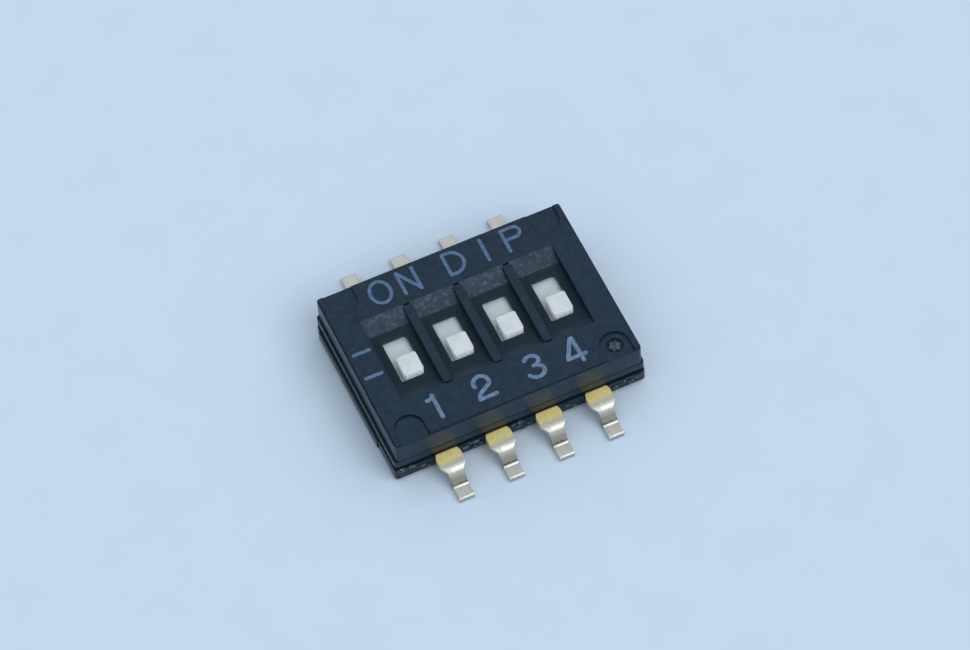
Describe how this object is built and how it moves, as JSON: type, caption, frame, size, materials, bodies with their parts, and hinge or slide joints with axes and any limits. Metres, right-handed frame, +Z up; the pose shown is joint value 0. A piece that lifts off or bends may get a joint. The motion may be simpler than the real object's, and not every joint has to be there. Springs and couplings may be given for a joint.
{
  "type": "dip switch",
  "caption": "Low surface-mount slide DIP switch: flat black housing, white knobs in ramped windows, forked contact springs inside and gull-wing terminals on both long sides.",
  "frame": {"origin": "on the board under the middle of the switch, level with the undersides of the solder feet", "axes": "+X along the row from switch 1 to the last one, +Y towards the ON side, +Z up"},
  "size_m": [0.0064, 0.0068, 0.0014],
  "materials": {
    "cover_plastic": "black moulded plastic with a fine eroded texture",
    "base_plastic": "black moulded plastic, slightly smoother than the cover",
    "slider_plastic": "white moulded plastic, satin",
    "contact_gold": "gold flash over spring bronze",
    "terminal_plating": "gold near the housing, bright tin on the leg and foot"
  },
  "bodies": {
    "housing": {"cover": "cover_plastic", "base": "base_plastic", "off_terminal_1": "terminal_plating", "off_terminal_2": "terminal_plating", "off_terminal_3": "terminal_plating", "off_terminal_4": "terminal_plating", "on_terminal_1": "terminal_plating", "on_terminal_2": "terminal_plating", "on_terminal_3": "terminal_plating", "on_terminal_4": "terminal_plating"},
    "actuator_1": {"slider_1": "slider_plastic", "contact_spring_1": "contact_gold"},
    "actuator_2": {"slider_2": "slider_plastic", "contact_spring_2": "contact_gold"},
    "actuator_3": {"slider_3": "slider_plastic", "contact_spring_3": "contact_gold"},
    "actuator_4": {"slider_4": "slider_plastic", "contact_spring_4": "contact_gold"}
  },
  "joints": [
    {"name": "switch_1_slide", "type": "slide", "parent": "housing", "child": "actuator_1", "axis": [0, 1, 0], "range_m": [0, 0.0006]},
    {"name": "switch_2_slide", "type": "slide", "parent": "housing", "child": "actuator_2", "axis": [0, 1, 0], "range_m": [0, 0.0006]},
    {"name": "switch_3_slide", "type": "slide", "parent": "housing", "child": "actuator_3", "axis": [0, 1, 0], "range_m": [0, 0.0006]},
    {"name": "switch_4_slide", "type": "slide", "parent": "housing", "child": "actuator_4", "axis": [0, 1, 0], "range_m": [0, 0.0006]}
  ]
}
